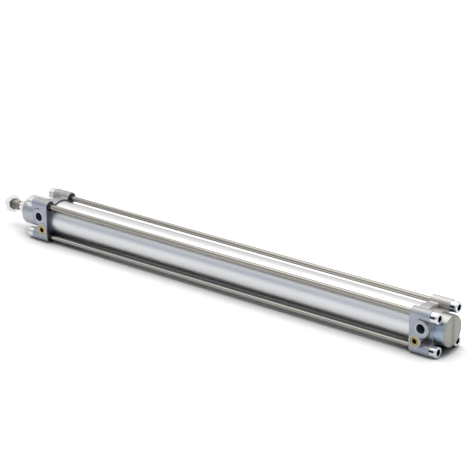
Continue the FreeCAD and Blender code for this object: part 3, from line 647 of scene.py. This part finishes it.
def make_rod():
    """The piston rod with its rolled thread, relief and wrench flats."""
    low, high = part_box("piston_rod")
    pitch, crest, root = 0.00125, 0.0050, 0.00425
    relief = ROD_SHOULDER - THREAD_RELIEF
    thread_bevel, shoulder_bevel, run_out = 0.0010, 0.0005, 0.0008
    flats_end, flats_half, uncut = ROD_SHOULDER + 0.006, 0.005, 1.0
    sleeve_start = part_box("front_cushion_sleeve")[0].x - 0.00002
    piston_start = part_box("piston")[0].x
    sleeve_seat, piston_seat = 0.005, 0.004

    def radius_at(x, angle):
        if x < relief:
            form = thread_form((x - low.x) / pitch - angle / (2 * math.pi))
            fade = max(0.0, min(1.0, (relief - x) / run_out))
            return min(root + (crest - root) * form * fade, crest - thread_bevel + (x - low.x))
        if x < ROD_SHOULDER:
            return root
        if x < sleeve_start:
            return min(ROD_RADIUS, ROD_RADIUS - shoulder_bevel + (x - ROD_SHOULDER))
        return sleeve_seat if x < piston_start else piston_seat

    def half_width_at(x):
        return flats_half if ROD_SHOULDER <= x <= flats_end else uncut

    tiny = 1e-6
    stations = between(low.x, relief - tiny, 168)
    stations += [relief, ROD_SHOULDER - tiny, ROD_SHOULDER, ROD_SHOULDER + shoulder_bevel]
    stations += [flats_end, flats_end + tiny] + between(-0.019, sleeve_start - tiny, 12)
    stations += [sleeve_start, piston_start - tiny, piston_start, high.x]
    made = turn("threaded_rod", stations, 72, radius_at, half_width_at)
    made.data.materials.append(FINISHES["rod"])
    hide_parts("piston_rod")
    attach(made, "rod_unit")


def make_port_thread(name):
    """The thread's crests inside an air port, as a fine ridge wound round the wall."""
    x, _, z = MOUNTS[name]["pos_m"]
    wall = MOUNTS[name]["dims"]["r_mm"] * 0.001
    pitch, height, sides = 0.000907, 0.00026, 40
    mouth, depth = -0.0213, 0.0084
    half_base, sunk = 0.38, 0.00005
    base = wall + sunk
    work = bmesh.new()
    rows = []
    count = int(depth / pitch * sides)
    for k in range(count + 1):
        angle = 2 * math.pi * k / sides
        y = mouth + pitch * k / sides
        taper = min(1.0, k / sides, (count - k) / sides)
        row = []
        for shift, radius in ((-half_base, base), (0.0, wall - height * taper), (half_base, base)):
            row.append(work.verts.new((x + radius * math.cos(angle), y + shift * pitch,
                                       z + radius * math.sin(angle))))
        rows.append(row)
    made = skin_over(f"{name}_thread", work, rows)
    made.data.materials.append(FINISHES["casting"])
    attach(made, "housing")


# Studio

def floor_finish():
    """A pale floor with painted shade from how closed in it is, a painted shadow deepest below the rear
    cover, and a painted pool of light below the middle of the tube.
    """
    made, tree, shader = new_finish("floor", 0.0, 0.7)
    shader.inputs["Specular IOR Level"].default_value = 0.1
    shader.inputs["Emission Color"].default_value = (*WHITE, 1)
    parts = parts_of(tree)
    openness = add(tree, "ShaderNodeAmbientOcclusion", {"Distance": 0.06}, output="AO", samples=8)
    # Painted shadow: the floor's colour darkens where it is closed in.
    shade = ramp(tree, openness, [
        (0.06, (0.34, 0.355, 0.39)), (0.34, (0.56, 0.57, 0.59)), (0.57, (0.93, 0.93, 0.935))])
    # Painted shadow below the rear cover.
    cover_end, cover_start = (SPAN + 0.005, SPAN - 0.008), (SPAN - 0.044, SPAN - 0.030)
    port_edge, far_edge = (-0.014, -0.002), (0.022, 0.014)
    painted_shadow_below_cover = all_of(
        tree, spread(tree, parts["X"], *cover_end), spread(tree, parts["X"], *cover_start),
        spread(tree, parts["Y"], *port_edge), spread(tree, parts["Y"], *far_edge))
    darkened = blend_colour(tree, scaled(tree, painted_shadow_below_cover, 0.88), shade, (0.012, 0.012, 0.016))
    link(tree, shader, Base_Color=darkened)

    # Glow for the camera only: it whitens the open floor, and paints a pool of light below the middle of the
    # tube.
    tube_start, tube_end = (0.05, 0.12), (SPAN - 0.03, SPAN - 0.06)
    open_glow, painted_tube_glow = 0.24, 0.075
    painted_light_below_tube = all_of(
        tree, spread(tree, parts["X"], *tube_start), spread(tree, parts["X"], *tube_end),
        spread(tree, openness, 0.30, 0.12))
    lift = total(tree, scaled(tree, spread(tree, openness, 0.42, 0.75), open_glow),
                 scaled(tree, painted_light_below_tube, painted_tube_glow))
    seen = add(tree, "ShaderNodeLightPath", output="Is Camera Ray")
    tree.links.new(scaled(tree, seen, lift), shader.inputs["Emission Strength"])
    return made


def make_floor():
    reach = 5.0
    corners = [(x * reach, y * reach, FLOOR_HEIGHT) for x, y in ((-1, -1), (1, -1), (1, 1), (-1, 1))]
    data = bpy.data.meshes.new("floor")
    data.from_pydata(corners, [], [(0, 1, 2, 3)])
    floor = add_object("floor", data)
    floor.data.materials.append(floor_finish())


def make_light(name, where, towards, size, watts):
    data = bpy.data.lights.new(name, "AREA")
    data.shape = "RECTANGLE"
    data.size, data.size_y = size
    data.energy = watts
    lamp = add_object(name, data)
    lamp.location = where
    aim(lamp, Vector(towards) - Vector(where))


def make_world():
    """A pale studio for the camera and reflections, dark low on the port side; a dimmer dome lights."""
    world = bpy.data.worlds.new("studio")
    world.use_nodes = True
    bpy.context.scene.world = world
    tree = world.node_tree
    parts = split(tree, add(tree, "ShaderNodeTexCoord", output="Generated"))
    port_side = ramp(tree, parts["Z"], [
        (0.0, (0.80, 0.82, 0.86)), (0.10, (0.62, 0.66, 0.74)), (0.15, (0.28, 0.31, 0.39)),
        (0.24, (0.28, 0.31, 0.39)), (0.31, (0.60, 0.63, 0.70)), (0.55, (0.70, 0.71, 0.73)),
        (0.64, (1.0, 0.99, 0.96)), (1.0, (1.0, 0.99, 0.96))])
    far_side = ramp(tree, parts["Z"], [
        (0.0, (0.78, 0.775, 0.76)), (0.4, (0.84, 0.835, 0.82)), (1.0, (1.0, 0.99, 0.96))])
    studio = blend_colour(tree, spread(tree, parts["Y"], -0.35, 0.25), port_side, far_side)
    dome = ramp(tree, parts["Z"], [(0.0, (0.16, 0.16, 0.165)), (1.0, (1.06, 1.06, 1.06))])
    path = tree.nodes.new("ShaderNodeLightPath").outputs
    seen = math_node(tree, "MAXIMUM", path["Is Camera Ray"], path["Is Glossy Ray"])
    seen = math_node(tree, "MAXIMUM", seen, path["Is Transmission Ray"])
    seen = all_of(tree, seen, below(tree, path["Diffuse Depth"], 0.5))
    background = tree.nodes["Background"]
    tree.links.new(blend_colour(tree, seen, dome, studio), background.inputs["Color"])
    background.inputs["Strength"].default_value = 1.0


make_camera()
finish_nodes()
make_rod()
make_port_thread("front_port")
make_port_thread("rear_port")
make_floor()
make_world()
make_light("overhead", where=(0.15, 0.25, 1.25), towards=(0.25, 0.0, 0.0), size=(1.9, 1.1), watts=7.2)
bpy.context.scene.view_settings.view_transform = "Standard"
